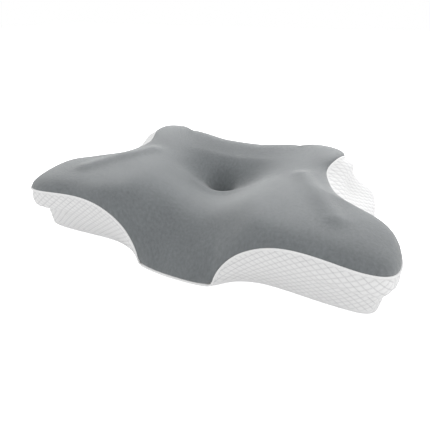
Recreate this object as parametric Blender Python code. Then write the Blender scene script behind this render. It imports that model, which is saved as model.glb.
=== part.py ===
# A butterfly-shaped memory foam neck pillow in its zipped cover, as separate closed pieces.
# Metres, +Z up. +X runs from arm to arm, -Y is the neck side, +Y is the head side, and the
# origin is the middle of the underside. The zip slider runs along X at the back.
import bpy
import bmesh
import math
import numpy as np
from mathutils import Matrix

# Overall sizes
pillow_length = 0.600
pillow_depth = 0.390
pillow_height = 0.115

# Layers, from the outside in
cover_thickness = 0.0030
liner_thickness = 0.0010
layer_gap = 0.0005
seam_gap = 0.0004
panel_bulge = 0.0030
turn_up = 0.0040
bottom_round = 0.0030
back_strip_top = 0.0190
piping_radius = 0.0016
piping_sides = 8

# Zip
zip_length = 0.260
tape_thickness = 0.0008
tape_height = 0.0038
coil_depth = 0.0024
coil_height = 0.0022
coil_split = 0.0010
tape_overlap = 0.0190
stop_length = 0.0030
slider_length = 0.0110
slider_height = 0.0060
plate_thickness = 0.0011
web_thickness = 0.0005
web_length = 0.0030
running_gap = 0.0003
bail_length = 0.0072
bail_width = 0.0022
bail_wall = 0.0008
bail_opening = 0.0022
pull_pin_radius = 0.00055
pull_arm_width = 0.0011
pull_thickness = 0.0010
pull_length = 0.0240
pull_width = 0.0064

# Care label
label_width = 0.024
label_length = 0.014
label_thickness = 0.0006
label_droop = math.radians(10)
label_place = -0.090

half_length = pillow_length / 2
half_depth = pillow_depth / 2
zip_half = zip_length / 2
back_y = 0.88 * half_depth
zip_z = (turn_up + back_strip_top) / 2
coil_near = back_y - coil_depth / 3
coil_far = coil_near + coil_depth
slider_rest = zip_half - stop_length - slider_length / 2 - 0.0005
piping_offset = piping_radius + 0.0006

# Stations round the right half, from the neck lobe to the middle of the back. Each has the
# seam under the grey panel and the base edge, as shares of the half length, half depth and
# height, how far the wall stays out as a lip before it turns in to the base, and how far it
# steps out twice as a shelf on its way down.
stations = [
    # seam x, seam y, seam z, base x, base y, lip, shelf
    (0.00, -1.000, 0.000, 0.000, -1.000, 0.0, 0.0),  # neck lobe
    (0.13, -0.990, 0.000, 0.130, -0.990, 0.0, 0.0),
    (0.21, -0.965, 0.065, 0.215, -0.965, 0.0, 0.0),  # corner of the neck lobe
    (0.24, -0.940, 0.280, 0.260, -0.910, 0.0, 0.0),
    (0.31, -0.910, 0.540, 0.330, -0.840, 0.0, 0.0),
    (0.42, -0.900, 0.740, 0.440, -0.795, 0.0, 0.0),  # front notch
    (0.54, -0.910, 0.840, 0.570, -0.795, 0.0, 0.0),
    (0.68, -0.920, 0.840, 0.690, -0.805, 0.1, 0.0),  # front edge of the arm
    (0.82, -0.940, 0.820, 0.810, -0.810, 0.5, 0.0),
    (0.93, -0.890, 0.780, 0.920, -0.800, 1.0, 0.0),
    (0.99, -0.730, 0.700, 0.978, -0.730, 1.0, 0.0),  # arm tip
    (1.00, -0.530, 0.670, 0.990, -0.540, 1.0, 0.0),
    (0.96, -0.390, 0.690, 0.975, -0.320, 0.8, 0.0),
    (0.84, -0.285, 0.740, 0.960, -0.100, 0.4, 0.0),
    (0.72, -0.115, 0.760, 0.953, 0.130, 0.0, 0.2),  # back edge of the arm
    (0.64, 0.150, 0.840, 0.965, 0.340, 0.0, 0.5),
    (0.62, 0.350, 0.890, 0.960, 0.535, 0.0, 0.9),  # back notch
    (0.68, 0.605, 0.930, 0.950, 0.755, 0.0, 1.0),
    (0.72, 0.870, 0.770, 0.880, 0.900, 0.0, 1.0),  # back corner
    (0.68, 1.000, 0.470, 0.750, 0.975, 0.0, 0.5),
]
corner_share = (0.61, 0.98, 0.65, 0.985)
first_side_station = 2
tip_station = 9.55

# Contour of the grey top: heights are taken off or added to a flat crown
neck_ramp = {"drop": 0.0560, "start": -0.058, "power": 2.7, "half_width": 0.0955, "squareness": 6.0}
neck_saddle = {"drop": 0.0390, "half_width": 0.074, "fade_start": -0.002, "fade": 0.085}
head_bowl = {"drop": 0.0270, "half_width": 0.125, "half_depth": 0.100, "centre": 0.045}
head_dimple = {"drop": 0.0340, "radius": 0.0240, "power": 3.0, "centre": 0.022}
dimple_lip = {"rise": 0.0050, "y": -0.008, "half_width": 0.039, "half_depth": 0.0156}
arm_crease = {"rise": 0.0040, "inner": (0.150, 0.016), "outer": (0.209, -0.109), "width": 0.016}
arm_dish = {"drop": 0.0040, "x": 0.250, "y": -0.052, "half_width": 0.032}

back_edge = {"power": 16, "swell": 0.0058, "start": 0.045, "rise": 0.090, "end": 0.165, "fade": 0.045}
wall_lip = {"bulge": 0.0045, "reach": 0.50, "start": 0.34, "length": 0.20}
wall_shelf = {"share": 0.35, "end": 0.20, "flare_start": 0.30, "flare_length": 0.50}

top_rings = (0.03, 0.055, 0.08, 0.105, 0.13, 0.16, 0.20, 0.28, 0.42, 0.58, 0.74, 0.88, 0.96, 1.0)
wall_steps = (0.15, 0.33, 0.50, 0.68, 1.0)
bottom_rings = (0.62, 0.25)
edge_power = 10
long_segment = 0.052
edge_lift = 0.25
level_height = 0.010
plain_ring = 0.50
slope_step = 0.0002


def smooth_step(value):
    value = np.clip(value, 0, 1)
    return value * value * (3 - 2 * value)


def station_rows():
    """All stations in metres, with the straight stretch that the zip needs."""
    rows = []
    for seam_x, seam_y, seam_z, base_x, base_y, lip, shelf in stations:
        height = max(seam_z * pillow_height, turn_up + seam_gap)
        rows.append((seam_x * half_length, seam_y * half_depth, height,
                     base_x * half_length, base_y * half_depth, lip, shelf))
    seam_x, seam_y, base_x, base_y = corner_share
    rows.append((seam_x * half_length, seam_y * half_depth, back_strip_top,
                 base_x * half_length, base_y * half_depth, 0.0, 0.0))
    for x in (zip_half + tape_overlap + seam_gap, zip_half, zip_half / 2, 0.0):
        rows.append((x, back_y, back_strip_top, x, back_y, 0.0, 0.0))
    return np.array(rows)


def closed_outline(rows):
    """Catmull-Rom curve through the stations and their mirror images, and each point's station number."""
    mirror = np.array([-1, 1, 1, -1, 1, 1, 1])
    full = np.vstack([rows, (rows[1:-1] * mirror)[::-1]])
    count = len(full)
    points = []
    places = []
    for i in range(count):
        before, here, after, beyond = (full[(i + k) % count] for k in (-1, 0, 1, 2))
        straight = abs(here[1] - after[1]) < 1e-9
        gap = max(np.linalg.norm((after - here)[:3]), np.linalg.norm((after - here)[3:5]))
        for t in ((0.0, 0.5) if gap > long_segment and not straight else (0.0,)):
            points.append(0.5 * (2 * here + (after - before) * t
                                 + (2 * before - 5 * here + 4 * after - beyond) * t ** 2
                                 + (3 * here - before - 3 * after + beyond) * t ** 3))
            places.append(i + t)
    return np.array(points), np.array(places)


def top_height(x, y):
    """Height of the contoured top over a point of the plan."""
    x = np.abs(x)
    ramp = np.clip((neck_ramp["start"] - y) / (half_depth + neck_ramp["start"]), 0, None) ** neck_ramp["power"]
    z = pillow_height - neck_ramp["drop"] * ramp * np.exp(-(x / neck_ramp["half_width"]) ** neck_ramp["squareness"])
    fade = 1 - smooth_step((y - neck_saddle["fade_start"]) / neck_saddle["fade"])
    z = z - neck_saddle["drop"] * fade * np.exp(-(x / neck_saddle["half_width"]) ** 2.5)
    z = z - head_bowl["drop"] * np.exp(-(x / head_bowl["half_width"]) ** 2
                                       - ((y - head_bowl["centre"]) / head_bowl["half_depth"]) ** 2)
    reach = np.hypot(x, y - head_dimple["centre"]) / head_dimple["radius"]
    z = z - head_dimple["drop"] * np.exp(-reach ** head_dimple["power"])
    z = z + dimple_lip["rise"] * np.exp(-(x / dimple_lip["half_width"]) ** 2
                                        - ((y - dimple_lip["y"]) / dimple_lip["half_depth"]) ** 2)
    (ax, ay), (bx, by) = arm_crease["inner"], arm_crease["outer"]
    along = np.clip(((x - ax) * (bx - ax) + (y - ay) * (by - ay)) / ((bx - ax) ** 2 + (by - ay) ** 2), 0, 1)
    away = (x - ax - along * (bx - ax)) ** 2 + (y - ay - along * (by - ay)) ** 2
    z = z + arm_crease["rise"] * np.exp(-away / arm_crease["width"] ** 2)
    return z - arm_dish["drop"] * np.exp(-((x - arm_dish["x"]) ** 2 + (y - arm_dish["y"]) ** 2)
                                         / arm_dish["half_width"] ** 2)


def wall_point(outline, t):
    """Point of the side wall, from the seam (t = 0) to the turned-up edge of the bottom (t = 1)."""
    seam, base, lip, shelf = outline[:, :3], outline[:, 3:5], outline[:, 5], outline[:, 6]
    flare = smooth_step(((base - seam[:, :2]) * seam[:, :2]).sum(1) / 0.002 + 0.5)
    steps = wall_shelf["share"] * math.sin(math.pi / 2 * min(t / wall_shelf["end"], 1))
    steps += (1 - wall_shelf["share"]) * smooth_step((t - wall_shelf["flare_start"]) / wall_shelf["flare_length"])
    flared = math.sin(math.pi / 2 * t) * (1 - shelf) + steps * shelf
    slope = flared * flare + t ** 1.2 * (1 - flare)
    share = slope * (1 - lip) + smooth_step((t - wall_lip["start"]) / wall_lip["length"]) * lip
    plan = seam[:, :2] + (base - seam[:, :2]) * share[:, None]
    height = seam[:, 2] - turn_up
    puff = panel_bulge * np.clip(height / 0.05, 0, 1) * math.sin(math.pi * t) ** 2 * (1 - lip)
    puff = puff + wall_lip["bulge"] * lip * math.sin(math.pi * min(t / wall_lip["reach"], 1)) ** 1.5
    plan = plan + plan_normal(seam[:, :2] * 0.5 + base * 0.5) * puff[:, None]
    return np.column_stack([plan, seam[:, 2] - height * t])


def plan_normal(plan):
    """Outward unit normal of a closed outline that runs anticlockwise."""
    along = np.roll(plan, -1, 0) - np.roll(plan, 1, 0)
    normal = np.column_stack([along[:, 1], -along[:, 0]])
    return normal / np.linalg.norm(normal, axis=1)[:, None]


def outer_rows(outline):
    """Rows of the cover's outer face: top rings, wall steps, then the turned-up and flat bottom."""
    rows = []
    centre = head_dimple["centre"]
    across = np.abs(outline[:, 0])
    behind = smooth_step((outline[:, 1] / half_depth - 0.5) / 0.3)
    behind = behind * (1 - smooth_step((across - back_edge["end"]) / back_edge["fade"]))
    behind = behind * smooth_step((across - back_edge["start"]) / back_edge["rise"])
    power = edge_power + (back_edge["power"] - edge_power) * behind
    for ring in top_rings:
        x, y = outline[:, 0] * ring, centre + (outline[:, 1] - centre) * ring
        y = y + back_edge["swell"] * behind * ring ** 8 * smooth_step((1 - ring) / 0.05)
        edge = np.sqrt(1 - ring ** power)
        rows.append(np.column_stack([x, y, outline[:, 2] + (top_height(x, y) - outline[:, 2]) * edge]))
    for t in wall_steps:
        rows.append(wall_point(outline, t))
    base = outline[:, 3:5]
    inward = -plan_normal(base)
    rows.append(np.column_stack([base + inward * bottom_round * 0.2, np.full(len(base), turn_up * 0.3)]))
    rows.append(np.column_stack([base + inward * bottom_round, np.zeros(len(base))]))
    for ring in bottom_rings:
        rows.append(np.column_stack([base * ring, np.zeros(len(base))]))
    return np.array(rows)


seam_row = len(top_rings) - 1
turn_row = seam_row + len(wall_steps)
edge_row = turn_row + 2


def inward_directions(grid):
    """Unit inward direction of every point down to the turned-up edge."""
    along = np.roll(grid, -1, 1) - np.roll(grid, 1, 1)
    down = np.empty_like(grid)
    down[1:-1] = grid[2:] - grid[:-2]
    down[0] = grid[1] - grid[0]
    down[-1] = grid[-1] - grid[-2]
    inward = np.cross(along, down)
    for row, ring in enumerate(top_rings):
        if ring < plain_ring:
            x, y = grid[row, :, 0], grid[row, :, 1]
            slope_x = (top_height(x + slope_step, y) - top_height(x - slope_step, y)) / (2 * slope_step)
            slope_y = (top_height(x, y + slope_step) - top_height(x, y - slope_step)) / (2 * slope_step)
            inward[row] = np.column_stack([slope_x, slope_y, -np.ones(len(x))])
    inward /= np.linalg.norm(inward, axis=2)[..., None]
    flat = level_share(grid)
    for row in range(seam_row, turn_row + 1):
        share = 1.0 if row == turn_row else flat[:, None]
        level = np.column_stack([-plan_normal(grid[row, :, :2]), np.zeros(grid.shape[1])])
        inward[row] = inward[row] * (1 - share) + level * share
        inward[row] /= np.linalg.norm(inward[row], axis=1)[:, None]
    return inward


def level_share(grid):
    """How much the inward direction lies level at each column: all of it where there is no wall."""
    return level_height / (level_height + grid[seam_row, :, 2] - turn_up)


def layer(grid, inward, depth):
    """The outer face moved inwards by a depth, with its underside lifted by the same depth."""
    moved = grid + inward * depth
    lift = depth + turn_up * edge_lift - turn_up
    if depth:
        flat = level_share(grid)
        for row, t in zip(range(seam_row, turn_row + 1), (0.0, *wall_steps)):
            moved[row, :, 2] += lift * (t * (1 - flat) + flat)
    low = slice(turn_row, None)
    level = -plan_normal(grid[turn_row, :, :2])
    share = np.ones(len(grid) - turn_row)
    share[edge_row + 1 - turn_row:] = 0
    moved[low, :, :2] = grid[low, :, :2] + level[None] * depth * share[:, None, None]
    if depth:
        moved[low, :, 2] = depth + grid[low, :, 2] * edge_lift
    return moved


def add_mesh(name, vertices, faces, color, roughness, smooth=True):
    mesh = bpy.data.meshes.new(name)
    mesh.from_pydata([tuple(v) for v in vertices], [], faces)
    work = bmesh.new()
    work.from_mesh(mesh)
    bmesh.ops.triangulate(work, faces=work.faces[:])
    bmesh.ops.recalc_face_normals(work, faces=work.faces[:])
    if work.calc_volume(signed=True) < 0:
        bmesh.ops.reverse_faces(work, faces=work.faces[:])
    work.to_mesh(mesh)
    work.free()
    if smooth:
        mesh.shade_smooth()
        mesh.set_sharp_from_angle(angle=math.radians(35))
    piece = bpy.data.objects.new(name, mesh)
    bpy.context.scene.collection.objects.link(piece)
    paint(piece, color, roughness)
    return piece


def paint(piece, color, roughness, metallic=0.0):
    material = bpy.data.materials.new(piece.name)
    material.use_nodes = True
    shader = material.node_tree.nodes["Principled BSDF"]
    shader.inputs["Base Color"].default_value = (*color, 1)
    shader.inputs["Roughness"].default_value = roughness
    shader.inputs["Metallic"].default_value = metallic
    piece.data.materials.clear()
    piece.data.materials.append(material)


def ring_faces(first_rows, count, turn_after=None):
    """Triangles between consecutive closed rows, given each row's first vertex number. The diagonals run the
    other way after a row number, where the rows climb again, so that nested layers are cut alike."""
    faces = []
    for number, (upper, lower) in enumerate(zip(first_rows, first_rows[1:])):
        for i in range(count):
            a, b, c, d = upper + i, lower + i, lower + (i + 1) % count, upper + (i + 1) % count
            if turn_after is not None and number >= turn_after:
                faces += [(a, b, d), (b, c, d)]
            else:
                faces += [(a, b, c), (a, c, d)]
    return faces


def fan_faces(centre, row, count):
    return [(centre, row + i, row + (i + 1) % count) for i in range(count)]


def closed_core(name, rows, top_centre, bottom_centre, color, roughness):
    """A solid bounded by closed rows, with a fan at each end."""
    count = rows.shape[1]
    vertices = [*rows.reshape(-1, 3), top_centre, bottom_centre]
    starts = [k * count for k in range(len(rows))]
    faces = ring_faces(starts, count)
    faces += fan_faces(len(vertices) - 2, starts[0], count)
    faces += fan_faces(len(vertices) - 1, starts[-1], count)
    return add_mesh(name, vertices, faces, color, roughness)


def dished_shell(name, outer, inner, outer_centre, inner_centre, color, roughness):
    """A shell that is open along its last row, between an outer and an inner face."""
    count = outer.shape[1]
    rows = [*outer, *inner[::-1]]
    vertices = [*np.concatenate(rows), outer_centre, inner_centre]
    starts = [k * count for k in range(len(rows))]
    faces = ring_faces(starts, count, len(outer) - 1)
    faces += fan_faces(len(vertices) - 2, starts[0], count)
    faces += fan_faces(len(vertices) - 1, starts[-1], count)
    return add_mesh(name, vertices, faces, color, roughness)


def strip_panel(name, outer, inner, color, roughness):
    """A four-sided panel between two open grids of the same size."""
    height, width = outer.shape[:2]
    vertices = [*outer.reshape(-1, 3), *inner.reshape(-1, 3)]
    shift = height * width

    def number(row, column, layer_index):
        return layer_index * shift + row * width + column

    faces = []
    for row in range(height - 1):
        for column in range(width - 1):
            for side in (0, 1):
                a, b, c, d = (number(row + r, column + k, side) for r, k in ((0, 0), (1, 0), (1, 1), (0, 1)))
                faces += [(a, b, c), (a, c, d)]
    border = [(0, c) for c in range(width)] + [(r, width - 1) for r in range(1, height)]
    border += [(height - 1, c) for c in range(width - 2, -1, -1)] + [(r, 0) for r in range(height - 2, 0, -1)]
    for here, after in zip(border, border[1:] + border[:1]):
        a, b, c, d = (number(*place, side) for place, side in ((here, 0), (after, 0), (after, 1), (here, 1)))
        faces += [(a, b, d), (b, c, d)]
    return add_mesh(name, vertices, faces, color, roughness)


def box(name, low, high, color, roughness, metallic=0.0):
    corners = [(x, y, z) for x in (low[0], high[0]) for y in (low[1], high[1]) for z in (low[2], high[2])]
    faces = [(0, 1, 3, 2), (4, 6, 7, 5), (0, 4, 5, 1), (2, 3, 7, 6), (0, 2, 6, 4), (1, 5, 7, 3)]
    piece = add_mesh(name, corners, faces, color, roughness, smooth=False)
    paint(piece, color, roughness, metallic)
    return piece


def join_shapes(target, others):
    """Unites helper shapes into a piece; the helpers are cutters that don't render."""
    for other in others:
        union = target.modifiers.new("with " + other.name, "BOOLEAN")
        union.operation = "UNION"
        union.solver = "EXACT"
        union.object = other
        other.hide_render = True
        other.display_type = "WIRE"


def set_origin(piece, point):
    """Puts a moving piece's origin on its joint without moving its shape."""
    piece.data.transform(Matrix.Translation([-value for value in point]))
    piece.location = point


grey = (0.235, 0.24, 0.25)
white = (0.86, 0.86, 0.87)
cream = (0.90, 0.87, 0.78)
nylon = (0.88, 0.88, 0.88)
metal = (0.72, 0.72, 0.72)


def side_columns(places, start, end):
    return [i for i, place in enumerate(places) if start - 1e-6 <= place <= end + 1e-6]


def build_side_panel(name, grid, inward, places, outline, start, end):
    """A quilted side panel over a run of stations, with a seam gap along every edge."""
    columns = side_columns(places, start, end)
    height = np.maximum(grid[seam_row, columns, 2] - turn_up, 1e-6)
    first = seam_gap / height
    steps = [0.0, *wall_steps]
    outer = []
    inner = []
    for number, t in enumerate(steps):
        spread = first + t * (1 - 2 * first)
        row = np.array([wall_point(outline, float(s))[c] for s, c in zip(spread, columns)])
        outer.append(row)
        inner.append(row + inward[seam_row + number, columns] * cover_thickness)
    outer, inner = np.array(outer), np.array(inner)
    for grid_part in (outer, inner):
        for here, beside in ((0, 1), (-1, -2)):
            along = grid_part[:, beside] - grid_part[:, here]
            along /= np.linalg.norm(along, axis=1)[:, None]
            grid_part[:, here] += along * seam_gap
    return strip_panel(name, outer, inner, white, 0.85)


def build_cover_and_core():
    rows = station_rows()
    outline, places = closed_outline(rows)
    grid = outer_rows(outline)
    inward = inward_directions(grid)
    middle = head_dimple["centre"]
    crown = np.array([0, middle, top_height(np.array(0.0), np.array(middle))])
    floor = np.zeros(3)

    def shell_rows(depth):
        return layer(grid, inward, depth)

    def centres(depth):
        return crown - [0, 0, depth], floor + [0, 0, depth]

    cover_in = shell_rows(cover_thickness)
    liner_out = cover_thickness + layer_gap
    liner_in = liner_out + liner_thickness
    foam_out = liner_in + layer_gap
    top_c, bottom_c = centres(0)
    top_i, bottom_i = centres(cover_thickness)
    dished_shell("cover_top_panel", grid[:seam_row + 1], cover_in[:seam_row + 1], top_c, top_i, grey, 0.8)
    dished_shell("cover_bottom_panel", grid[turn_row:][::-1], cover_in[turn_row:][::-1],
                 bottom_c, bottom_i, white, 0.85)
    liners = np.array([shell_rows(liner_out), shell_rows(liner_in)])
    top_o, bottom_o = centres(liner_out)
    top_n, bottom_n = centres(liner_in)
    upper = liners[:, :turn_row + 1].copy()
    upper[:, -1] += (upper[:, -2] - upper[:, -1]) * 0.05
    lower = liners[:, turn_row:][:, ::-1]
    dished_shell("inner_liner_top", upper[0], upper[1], top_o, top_n, cream, 0.9)
    dished_shell("inner_liner_bottom", lower[0], lower[1], bottom_o, bottom_n, cream, 0.9)
    top_f, bottom_f = centres(foam_out)
    closed_core("foam_core", shell_rows(foam_out), top_f, bottom_f, cream, 0.95)

    build_piping(grid, inward)
    last_side = len(rows) - 4
    total = 2 * (len(rows) - 1)
    for name, start, end in (
        ("side_panel_front_right", first_side_station, tip_column(places, tip_station)),
        ("side_panel_back_right", tip_column(places, tip_station), last_side),
        ("side_panel_back_left", total - last_side, total - tip_column(places, tip_station)),
        ("side_panel_front_left", total - tip_column(places, tip_station), total - first_side_station),
    ):
        build_side_panel(name, grid, inward, places, outline, start, end)


def build_piping(grid, inward):
    """The cord sewn round the edge of the grey panel, which comes down to the floor at the neck lobe."""
    seam = grid[seam_row]
    across = -inward[seam_row]
    centres = seam + across * piping_offset
    low = np.clip((seam[:, 2] - turn_up - 0.001) / 0.012, 0, 1)
    floor_level = piping_radius + layer_gap
    centres[:, 2] = floor_level + (centres[:, 2] - floor_level) * low
    along = np.roll(centres, -1, 0) - np.roll(centres, 1, 0)
    upward = np.cross(along, across)
    upward /= np.linalg.norm(upward, axis=1)[:, None]
    outward = np.cross(upward, along)
    outward /= np.linalg.norm(outward, axis=1)[:, None]
    rows = []
    for side in range(piping_sides + 1):
        angle = 2 * math.pi * (side % piping_sides) / piping_sides
        rows.append(centres + (outward * math.cos(angle) + upward * math.sin(angle)) * piping_radius)
    count = len(centres)
    starts = [(k % piping_sides) * count for k in range(piping_sides + 1)]
    add_mesh("seam_piping", np.concatenate(rows[:-1]), ring_faces(starts, count), white, 0.6)


def tip_column(places, station):
    return places[np.argmin(np.abs(places - station))]


def clear_scene():
    for thing in list(bpy.data.objects):
        bpy.data.objects.remove(thing)


def build_tapes():
    """Two woven tapes behind the back face, each ending in half of the coil."""
    reach = zip_half + tape_overlap
    outer = back_y - layer_gap
    for name, low, high in (
        ("zip_tape_upper", back_strip_top - seam_gap - tape_height, back_strip_top - seam_gap),
        ("zip_tape_lower", turn_up + seam_gap, turn_up + seam_gap + tape_height),
    ):
        box(name, (-reach, outer - tape_thickness, low), (reach, outer, high), white, 0.8)


def build_coils():
    """Each half of the coil is an eight-sided bar between the stops at its ends."""
    reach = zip_half - stop_length - running_gap
    chamfer = 0.3 * coil_height
    middle = (coil_near + coil_far) / 2
    for name, side in (("zip_coil_upper", 1), ("zip_coil_lower", -1)):
        centre = zip_z + side * (coil_split + coil_height) / 2
        half_y, half_z = coil_depth / 2, coil_height / 2
        profile = [(middle + sy * (half_y - (0 if flat else chamfer)), centre + sz * (half_z - (chamfer if flat else 0)))
                   for sy, sz, flat in ((1, -1, True), (1, 1, True), (1, 1, False), (-1, 1, False),
                                        (-1, 1, True), (-1, -1, True), (-1, -1, False), (1, -1, False))]
        rows = np.array([[(x, y, z) for y, z in profile] for x in (-reach, reach)])
        ends = rows.mean(1)
        closed_core(name, rows, ends[0], ends[1], nylon, 0.5)


def build_stops():
    """A block over both halves at the open end, and one on each half at the closed end."""
    top = zip_z + coil_split / 2 + coil_height
    bottom = zip_z - coil_split / 2 - coil_height
    box("zip_bottom_stop", (-zip_half, coil_near, bottom), (stop_length - zip_half, coil_far, top), metal, 0.35, 1.0)
    for name, low, high in (
        ("zip_top_stop_upper", zip_z + coil_split / 2, top),
        ("zip_top_stop_lower", bottom, zip_z - coil_split / 2),
    ):
        box(name, (zip_half - stop_length, coil_near, low), (zip_half, coil_far, high), metal, 0.35, 1.0)


def build_slider():
    """Front and back plates joined by a web through the split coil, with a bail for the pull."""
    front = coil_far + running_gap
    rear = coil_near - running_gap
    x = slider_rest
    half_x, half_z = slider_length / 2, slider_height / 2
    slider = box("zip_slider", (x - half_x, front, zip_z - half_z),
                 (x + half_x, front + plate_thickness, zip_z + half_z), metal, 0.3, 1.0)
    overlap = plate_thickness / 3
    helpers = [
        box("slider_back_plate", (x - half_x, rear - plate_thickness, zip_z - half_z),
            (x + half_x, rear, zip_z + half_z), metal, 0.3),
        box("slider_web", (x + half_x - web_length, rear - overlap, zip_z - web_thickness / 2),
            (x + half_x - overlap, front + overlap, zip_z + web_thickness / 2), metal, 0.3),
    ]
    face = front + plate_thickness
    half_bail = bail_length / 2
    for name, low, high in (("bail_leg_left", -half_bail, bail_wall - half_bail),
                            ("bail_leg_right", half_bail - bail_wall, half_bail)):
        helpers.append(box(name, (x + low, face - overlap, zip_z - bail_width / 2),
                           (x + high, face + bail_opening + overlap, zip_z + bail_width / 2), metal, 0.3))
    helpers.append(box("bail_bar", (x - half_bail, face + bail_opening, zip_z - bail_width / 2),
                       (x + half_bail, face + bail_opening + bail_wall, zip_z + bail_width / 2), metal, 0.3))
    set_origin(slider, (x, back_y, zip_z))
    join_shapes(slider, helpers)
    return face


def build_pull(face):
    """A tab on two arms, hung on a pin that passes under the bail."""
    x = slider_rest
    pin_y = face + bail_opening / 2
    half = pull_thickness / 2
    arm_inner = bail_width / 2 + running_gap
    arm_outer = arm_inner + pull_arm_width
    tab_start = -(bail_length / 2 + running_gap + pull_arm_width)
    pull = box("zip_pull", (x - pull_length, pin_y - half, zip_z - pull_width / 2),
               (x + tab_start, pin_y + half, zip_z + pull_width / 2), metal, 0.3, 1.0)
    helpers = []
    for name, side in (("pull_arm_upper", 1), ("pull_arm_lower", -1)):
        low, high = sorted((zip_z + side * arm_inner, zip_z + side * arm_outer))
        helpers.append(box(name, (x + tab_start - pull_arm_width, pin_y - half * 0.9, low),
                           (x + pull_pin_radius, pin_y + half * 0.9, high), metal, 0.3))
    sides = 12
    turns = [(math.cos(2 * math.pi * k / sides), math.sin(2 * math.pi * k / sides)) for k in range(sides)]
    reach = arm_outer - pull_arm_width / 3
    rows = np.array([[(x + a * pull_pin_radius, pin_y + b * pull_pin_radius, zip_z + z) for a, b in turns]
                     for z in (-reach, reach)])
    ends = rows.mean(1)
    helpers.append(closed_core("pull_pin", rows, ends[0], ends[1], metal, 0.3))
    set_origin(pull, (x, pin_y, zip_z))
    join_shapes(pull, helpers)


def build_label():
    """A blank folded label that hangs from the lower seam, beside the zip."""
    root = back_y + layer_gap
    drop = math.tan(label_droop) * label_length
    half = label_width / 2
    low, high = turn_up + seam_gap, turn_up + seam_gap + label_thickness
    profile = [(root, low), (root + label_length, low - drop),
               (root + label_length, high - drop), (root, high)]
    rows = np.array([[(label_place + x, y, z) for y, z in profile] for x in (-half, half)])
    ends = rows.mean(1)
    closed_core("care_label", rows, ends[0], ends[1], white, 0.8)


clear_scene()
build_cover_and_core()
build_tapes()
build_coils()
build_stops()
build_pull(build_slider())
build_label()
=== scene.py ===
# A butterfly-shaped neck pillow: grey knit top, quilted white sides, and a zip along the back.
import math
import bmesh
import bpy
import numpy as np
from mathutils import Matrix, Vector


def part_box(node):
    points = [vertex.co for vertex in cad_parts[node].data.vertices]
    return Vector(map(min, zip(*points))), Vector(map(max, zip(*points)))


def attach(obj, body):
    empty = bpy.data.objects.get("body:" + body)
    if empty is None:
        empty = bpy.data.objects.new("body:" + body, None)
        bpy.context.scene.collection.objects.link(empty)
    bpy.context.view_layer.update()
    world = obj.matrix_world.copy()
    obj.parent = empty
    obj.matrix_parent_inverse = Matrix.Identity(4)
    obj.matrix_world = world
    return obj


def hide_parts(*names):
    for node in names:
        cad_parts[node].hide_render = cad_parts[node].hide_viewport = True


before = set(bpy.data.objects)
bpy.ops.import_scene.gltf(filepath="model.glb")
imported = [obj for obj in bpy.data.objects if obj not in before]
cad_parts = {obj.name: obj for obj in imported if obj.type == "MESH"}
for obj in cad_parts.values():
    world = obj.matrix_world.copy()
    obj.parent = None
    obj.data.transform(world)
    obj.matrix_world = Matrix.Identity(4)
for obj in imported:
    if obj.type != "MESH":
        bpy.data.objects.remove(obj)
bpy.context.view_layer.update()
scene = bpy.context.scene
scene.view_settings.view_transform = "Standard"

# Sizes that everything below is worked out from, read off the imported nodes
topLow, topHigh = (np.array(corner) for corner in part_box("cover_top_panel"))
footHigh = np.array(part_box("cover_bottom_panel")[1])
tapeHigh = np.array(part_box("zip_tape_upper")[1])
lowerTapeLow = np.array(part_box("zip_tape_lower")[0])
tapeInset = 0.0005  # how far the tapes lie inside the back of the cover
crownShare = 0.985  # the flat crown is a little lower than the ridges on it
halfLength = topHigh[0]
halfDepth = -topLow[1]
seamGap = lowerTapeLow[2] - footHigh[2]
turnUp = footHigh[2]
stripTop = tapeHigh[2] + seamGap
backY = tapeHigh[1] + tapeInset
crownHeight = crownShare * topHigh[2]

# ---- camera, in the direction that the pillow is looked at
view = {"azimuth": 22.3, "elevation": 34.55, "distance": 0.525, "lens": 25.42, "sensor": 36.0,
        "aimX": 0.080, "aimY": -0.395, "aimZ": 0.435}  # aim in shares of half length, half depth and crown


def placeCamera():
    # the camera sits on a sphere round the aim point, and looks at it
    turn, rise = math.radians(view["azimuth"]), math.radians(view["elevation"])
    aim = Vector((view["aimX"] * halfLength, view["aimY"] * halfDepth, view["aimZ"] * crownHeight))
    away = Vector((math.sin(turn) * math.cos(rise), -math.cos(turn) * math.cos(rise), math.sin(rise)))
    data = bpy.data.cameras.new("camera")
    data.lens = view["lens"]
    data.sensor_width = view["sensor"]
    data.clip_start = 0.01
    camera = bpy.data.objects.new("camera", data)
    camera.location = aim + away * view["distance"]
    camera.rotation_euler = away.to_track_quat("Z", "Y").to_euler()
    scene.collection.objects.link(camera)
    scene.camera = camera


placeCamera()

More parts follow.
